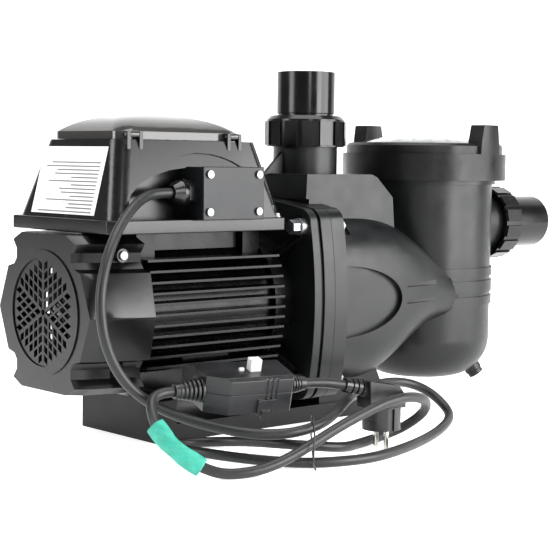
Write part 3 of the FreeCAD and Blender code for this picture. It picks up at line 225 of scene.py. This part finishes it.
# ---------------------------------------------------------------- terminal box and gland
# A slightly greyer ABS box and cover with four corner screws, and the glossy nylon gland that grips the lead.
# The earth screw stands beside it.
terminal_abs = finish_of("terminal_box_abs", "0A0B0D", "131518", 0.32, 1.2, 0.02, cloud=45,
                         **{"Specular IOR Level": 0.3})
gland_nylon = finish_of("gland_nylon", "0A0A0B", "131415", 0.2, 2.2, 0.01, cloud=14)
softened("terminal_shell", "terminal_box", terminal_abs, 1.0)
softened("terminal_lid", "terminal_cover", terminal_abs, 0.8)
softened("terminal_screw_set", "cover_screws", bright_steel, 0.35)
softened("gland_hex", "gland_body", gland_nylon, 0.5)
softened("gland_dome", "gland_nut", gland_nylon, 0.6)
softened("earth_screw", "ground_screw", bright_steel, 0.4)

# ---------------------------------------------------------------- rating label
# White polyester film stuck to the case: grey bars where print would be, and no lettering. The satin face
# is nearly even in colour.
label_film = finish_of("label_film", "DADBDB", "E6E6E5", 0.4, 1.5, 0.004, cloud=80, spread=0.03)


def print_bars(material, pitch, top, left, right):
    """Rows of grey bars of uneven length: row number floor(z / pitch), each row with its own random end."""
    tree = material.node_tree
    shader = next(node for node in tree.nodes if node.type == "BSDF_PRINCIPLED")
    film = shader.inputs["Base Color"].links[0].from_socket
    where = add(tree, "ShaderNodeTexCoord")
    parts = add(tree, "ShaderNodeSeparateXYZ", {"Vector": (where, "Object")})
    rows = add(tree, "ShaderNodeMath", {0: (parts, "Z"), 1: pitch}, operation="DIVIDE")
    number = add(tree, "ShaderNodeMath", {0: (rows, "Value")}, operation="FLOOR")
    share = add(tree, "ShaderNodeMath", {0: (rows, "Value")}, operation="FRACT")
    chance = add(tree, "ShaderNodeTexWhiteNoise", {"W": (number, "Value")}, noise_dimensions="1D")
    end = add(tree, "ShaderNodeMapRange", {"Value": (chance, "Value"), "To Min": left + 0.4 * (right - left),
                                           "To Max": right})
    tests = [add(tree, "ShaderNodeMath", {0: (share, "Value"), 1: 0.42}, operation="LESS_THAN"),
             add(tree, "ShaderNodeMath", {0: (parts, "Y"), 1: left}, operation="GREATER_THAN"),
             add(tree, "ShaderNodeMath", {0: (parts, "Y"), 1: (end, "Result")}, operation="LESS_THAN"),
             add(tree, "ShaderNodeMath", {0: (parts, "Z"), 1: top}, operation="LESS_THAN")]
    inside = tests[0]
    for test in tests[1:]:
        inside = add(tree, "ShaderNodeMath", {0: (inside, "Value"), 1: (test, "Value")}, operation="MULTIPLY")
    mixed = add(tree, "ShaderNodeMix", {"Factor": (inside, "Value"), "B": linear("6C6E70")}, data_type="RGBA")
    tree.links.new(film, mixed.inputs["A"])
    tree.links.new(mixed.outputs["Result"], shader.inputs["Base Color"])


BAR_PITCH = 3.6 * MM
BARS_TOP = 0.272
BARS_LEFT = -0.044
BARS_RIGHT = 0.05
print_bars(label_film, BAR_PITCH, BARS_TOP, BARS_LEFT, BARS_RIGHT)
paint(label_film, "rating_plate")

# ---------------------------------------------------------------- inside
# What the casings hide: ground steel shaft, bearings and cores, varnished copper windings, rubber seals, the
# shaft seal's lapped carbon faces, the lacquered board, and the black moulded impeller, diffuser and fan.
steel_grey = plated("ground_steel", "9EA0A2", 0.32)
copper = plated("varnished_copper", "A05A2C", 0.35)
seal_black = finish_of("nitrile_rubber", "0E0E0F", "161617", 0.55, 1.0, 0.02)
carbon = finish_of("lapped_carbon", "17181A", "222426", 0.3, 1.5, 0.004)
lacquer = finish_of("green_lacquer", "0F4A2C", "176038", 0.35, 1.4, 0.01)
paint(steel_grey, "motor_shaft", "shaft_bearings", "rotor_core", "stator_core")
paint(copper, "stator_windings")
paint(seal_black, "lid_seal", "union_seals")
paint(carbon, "seal_head", "seal_seat")
paint(lacquer, "inverter_board")
paint(glass_filled, "impeller", "diffuser", "basket_bail")
paint(satin_abs, "cooling_fan")

# ---------------------------------------------------------------- mains lead
# Three-core rubber flex, 9.5 mm, matt black with a soft sheen. It leaves the gland, goes down beside the fan
# cowl and lies on the floor in a bundle folded twice and held by one wire tie.
def curve_piece(name, points, diameter, cyclic=False):
    """A round cord on a NURBS curve with the given control points."""
    line = bpy.data.curves.new(name, "CURVE")
    line.dimensions = "3D"
    spline = line.splines.new("NURBS")
    spline.points.add(len(points) - 1)
    for control, point in zip(spline.points, points):
        control.co = (*point, 1)
    spline.order_u = 3
    spline.use_endpoint_u = not cyclic
    spline.use_cyclic_u = cyclic
    spline.resolution_u = 8
    line.bevel_depth = diameter / 2
    line.bevel_resolution = 7
    line.use_fill_caps = True
    piece = bpy.data.objects.new(name, line)
    bpy.context.scene.collection.objects.link(piece)
    return piece


CORD_DIAMETER = 0.0095
SUPPLY_ROUTE = [
    (-0.241, -0.072, 0.243), (-0.259, -0.072, 0.243), (-0.277, -0.077, 0.239), (-0.3, -0.089, 0.229),
    (-0.326, -0.104, 0.211), (-0.349, -0.118, 0.184), (-0.362, -0.127, 0.148), (-0.358, -0.131, 0.109),
    (-0.34, -0.135, 0.076), (-0.317, -0.146, 0.056), (-0.291, -0.168, 0.042), (-0.26, -0.203, 0.033),
    (-0.24, -0.221, 0.032), (-0.219, -0.23, 0.033), (-0.19, -0.231, 0.037), (-0.157, -0.217, 0.043),
    (-0.114, -0.188, 0.048), (-0.064, -0.163, 0.05), (-0.013, -0.141, 0.049), (0.018, -0.141, 0.046),
    (0.036, -0.153, 0.038), (0.041, -0.173, 0.025), (0.032, -0.192, 0.015), (-0.004, -0.211, 0.009),
    (-0.042, -0.223, 0.00475), (-0.089, -0.241, 0.00475), (-0.139, -0.254, 0.00475),
    (-0.175, -0.25, 0.00475), (-0.208, -0.237, 0.00475), (-0.238, -0.216, 0.007),
    (-0.257, -0.194, 0.009), (-0.273, -0.168, 0.011), (-0.28, -0.138, 0.011), (-0.272, -0.11, 0.009),
    (-0.248, -0.095, 0.006), (-0.221, -0.102, 0.005), (-0.206, -0.124, 0.007), (-0.201, -0.149, 0.01),
    (-0.197, -0.174, 0.012), (-0.191, -0.194, 0.013), (-0.173, -0.211, 0.012), (-0.145, -0.215, 0.008),
    (-0.11, -0.199, 0.00475), (-0.07, -0.187, 0.00475), (-0.048, -0.194, 0.011),
    (-0.038, -0.207, 0.022), (-0.04, -0.223, 0.035), (-0.06, -0.239, 0.049), (-0.091, -0.246, 0.055),
    (-0.122, -0.247, 0.053), (-0.152, -0.246, 0.045), (-0.182, -0.244, 0.035), (-0.212, -0.242, 0.023),
    (-0.239, -0.24, 0.013), (-0.262, -0.237, 0.007), (-0.28, -0.233, 0.00475), (-0.3, -0.225, 0.00475),
    (-0.316, -0.215, 0.011), (-0.328, -0.205, 0.021), (-0.336, -0.193, 0.032), (-0.339, -0.179, 0.045),
    (-0.33, -0.159, 0.062), (-0.3155, -0.1538, 0.0685), (-0.302, -0.1573, 0.0685),
]
PLUG_ROUTE = [(-0.1839, -0.1881, 0.0685), (-0.1645, -0.1931, 0.0685), (-0.1435, -0.1986, 0.0666),
              (-0.1249, -0.2034, 0.0627)]
cord_rubber = finish_of("rubber_sheath", "08090A", "121315", 0.42, 0.6, 0.02, cloud=14, spread=0.06,
                        **{"Specular IOR Level": 0.4, "Sheen Weight": 0.04})
supply = settle(curve_piece("supply_flex", SUPPLY_ROUTE, CORD_DIAMETER), "supply_cord", cord_rubber)
plug_flex = settle(curve_piece("plug_flex", PLUG_ROUTE, CORD_DIAMETER), "plug_cord", cord_rubber)

# ---------------------------------------------------------------- in-line breaker
# A two-part black ABS box screwed together round its circuit, fine spark-eroded grain, ringed rubber boots at
# both ends, and two white acetal buttons standing through the cover.
breaker_abs = finish_of("textured_black_abs", "07080A", "101114", 0.36, 0.5, 0.03, cloud=25)
boot_rubber = finish_of("boot_rubber", "090A0B", "131416", 0.38, 0.8, 0.015, cloud=12)
button_white = finish_of("white_acetal", "B9BAB8", "CDCECB", 0.38, 0.8, 0.004, cloud=20)
breaker_pieces = [softened("breaker_shell_lower", "breaker_base", breaker_abs, 0.6),
                  softened("breaker_shell_upper", "breaker_cover", breaker_abs, 0.6),
                  softened("breaker_boots", "breaker_reliefs", boot_rubber, 0.35),
                  softened("test_key_cap", "test_button", button_white, 0.3),
                  softened("reset_key_cap", "reset_button", button_white, 0.3)]

# ---------------------------------------------------------------- plug
# A moulded-on black PVC plug with two bright nickel-plated brass pins, standing on their tips.
plug_pvc = finish_of("plug_pvc", "08080A", "121214", 0.3, 0.9, 0.01, cloud=22)
nickel = plated("nickel_plate", "C9C7C0", 0.2)
plug_pieces = [softened("plug_moulding", "plug_body", plug_pvc, 0.8),
               softened("plug_prongs", "plug_pins", nickel, 0.15)]

# ---------------------------------------------------------------- tag and tie on the lead
# Teal woven adhesive tape folded round the flex, and a thin plastic-coated wire tie round the bundle.
tag_tape = finish_of("teal_tape", "1A8571", "2E9C88", 0.55, 1.1, 0.06, cloud=9)
tie_coat = finish_of("tie_coat", "101114", "1A1C20", 0.4, 0.8, 0.01)


def surface_piece(name, points, closed_across):
    """A mesh over a grid of points (rows x columns x 3); the columns close into a ring if asked."""
    rows, columns = points.shape[:2]
    last = columns if closed_across else columns - 1
    faces = [(i * columns + j, i * columns + (j + 1) % columns,
              (i + 1) * columns + (j + 1) % columns, (i + 1) * columns + j)
             for i in range(rows - 1) for j in range(last)]
    if closed_across:
        faces.append(tuple(reversed(range(columns))))
        faces.append(tuple(range((rows - 1) * columns, rows * columns)))
    mesh = bpy.data.meshes.new(name)
    mesh.from_pydata(points.reshape(-1, 3).tolist(), [], faces)
    mesh.shade_smooth()
    piece = bpy.data.objects.new(name, mesh)
    bpy.context.scene.collection.objects.link(piece)
    return piece


def wrapped_tag(knots, half_wide, half_deep):
    """Tape folded flat round the flex and pinched into creases.

    Its section at t along the flex is C(t) + w cos(u) A + d sin(u) N, with u from 0 to 2 pi, where
    w = half_wide (1 + 0.07 sin(9 t) cos(2 u)) and d = half_deep (1 + 0.1 sin(5 u + 23 t)).
    """
    t = np.linspace(0, 1, 48)
    u = np.linspace(0, 2 * np.pi, 40, endpoint=False)
    knots = np.array(knots)
    stations = np.linspace(0, 1, len(knots))
    middle = np.stack([np.interp(t, stations, knots[:, axis]) for axis in range(3)], axis=1)
    for _ in range(6):
        middle[1:-1] = (middle[:-2] + 2 * middle[1:-1] + middle[2:]) / 4
    along = np.gradient(middle, axis=0)
    along /= np.linalg.norm(along, axis=1)[:, None]
    across = np.cross(along, [0.67, 0.74, 0.0])
    across /= np.linalg.norm(across, axis=1)[:, None]
    through = np.cross(along, across)
    wide = half_wide * (1 + 0.07 * np.sin(9 * t)[:, None] * np.cos(2 * u))
    deep = half_deep * (1 + 0.1 * np.sin(5 * u + 23 * t[:, None]))
    points = (middle[:, None] + (wide * np.cos(u))[..., None] * across[:, None]
              + (deep * np.sin(u))[..., None] * through[:, None])
    return surface_piece("folded_tag", points, True)


TAG_HALF_WIDE = 0.0085
TAG_HALF_DEEP = 0.0060
tag_course = SUPPLY_ROUTE[57:61]
tag = settle(wrapped_tag(tag_course, TAG_HALF_WIDE, TAG_HALF_DEEP), "lead_tag", tag_tape)
tie = softened("wire_tie", "lead_tie", tie_coat, 0.1)

# ---------------------------------------------------------------- camera
# A long lens set low at the fan end, on the terminal box side, tilted a little down and rolled a touch.
CAMERA_SPOT = Vector((-1.1073, -1.1896, 0.2776))
CAMERA_HEADING = math.radians(48.15)
CAMERA_TILT = math.radians(4.53)
CAMERA_ROLL = math.radians(0.78)
CAMERA_LENS = 96.77


def place_camera():
    """The camera's axes from heading, tilt and roll: level axes first, then both turned by the roll."""
    look = Vector((math.cos(CAMERA_HEADING) * math.cos(CAMERA_TILT),
                   math.sin(CAMERA_HEADING) * math.cos(CAMERA_TILT), -math.sin(CAMERA_TILT)))
    level_right = Vector((math.sin(CAMERA_HEADING), -math.cos(CAMERA_HEADING), 0))
    level_up = level_right.cross(look)
    right = level_right * math.cos(CAMERA_ROLL) + level_up * math.sin(CAMERA_ROLL)
    up = level_up * math.cos(CAMERA_ROLL) - level_right * math.sin(CAMERA_ROLL)
    camera = bpy.data.objects.new("camera", bpy.data.cameras.new("camera"))
    bpy.context.scene.collection.objects.link(camera)
    camera.data.sensor_width = 36
    camera.data.lens = CAMERA_LENS
    camera.data.clip_start = 0.05
    camera.matrix_world = Matrix((right, up, -look)).transposed().to_4x4()
    camera.matrix_world.translation = CAMERA_SPOT
    bpy.context.scene.camera = camera


place_camera()

# ---------------------------------------------------------------- studio
# A pale floor that curves up behind, a soft overhead light and a large softbox each side.
def make_floor():
    """A flat floor whose far side sweeps up through a quarter circle, as one smooth grid."""
    reach, radius, steps = 3.0, 1.0, 16
    turn = np.linspace(0, math.pi / 2, steps)
    along = np.concatenate([[-reach], radius * np.sin(turn) + 1.5, [1.5 + radius]])
    up = np.concatenate([[0], radius * (1 - np.cos(turn)), [radius + 2.5]])
    across = np.array([-4.0, 4.0])
    look = np.array([math.cos(CAMERA_HEADING), math.sin(CAMERA_HEADING)])
    side = np.array([-look[1], look[0]])
    ground = along[:, None, None] * look + across[None, :, None] * side
    points = np.concatenate([ground, np.repeat(up[:, None, None], 2, axis=1)], axis=2).reshape(-1, 3)
    faces = [(2 * i, 2 * i + 2, 2 * i + 3, 2 * i + 1) for i in range(len(along) - 1)]
    mesh = bpy.data.meshes.new("floor")
    mesh.from_pydata(points.tolist(), [], faces)
    mesh.shade_smooth()
    floor = bpy.data.objects.new("floor", mesh)
    bpy.context.scene.collection.objects.link(floor)
    mesh.materials.append(finish_of("floor_paper", "F4F4F4", "FAFAFA", 0.7, 2.0, 0.01, cloud=400,
                                      **{"Emission Color": (1.0, 1.0, 1.0, 1.0), "Emission Strength": 0.68}))


def softbox(name, spot, target, wide, tall, power):
    """An area light of a given size, aimed at a point."""
    lamp = bpy.data.lights.new(name, "AREA")
    lamp.shape = "RECTANGLE"
    lamp.size = wide
    lamp.size_y = tall
    lamp.energy = power
    light = bpy.data.objects.new(name, lamp)
    bpy.context.scene.collection.objects.link(light)
    light.location = spot
    light.rotation_euler = (Vector(target) - Vector(spot)).to_track_quat("-Z", "Y").to_euler()


make_floor()
softbox("overhead", (-0.1, -0.2, 1.9), (-0.05, 0, 0.15), 1.6, 1.6, 36)
softbox("left_box", (-1.7, 0.35, 0.8), (-0.2, 0, 0.17), 0.6, 1.4, 22)
softbox("right_box", (1.25, -1.75, 0.55), (-0.05, 0, 0.17), 1.5, 1.5, 62)
softbox("cowl_box", (0.28, -1.67, 0.5), (-0.3, -0.09, 0.14), 0.5, 1.0, 22)
softbox("front_strip", (-1.0, -1.9, 1.0), (-0.05, 0, 0.15), 0.3, 1.2, 12)
world = bpy.data.worlds.new("studio")
world.use_nodes = True
world.node_tree.nodes["Background"].inputs["Color"].default_value = (1, 1, 1, 1)
world.node_tree.nodes["Background"].inputs["Strength"].default_value = 0.26
bpy.context.scene.view_settings.view_transform = "Standard"
bpy.context.scene.world = world
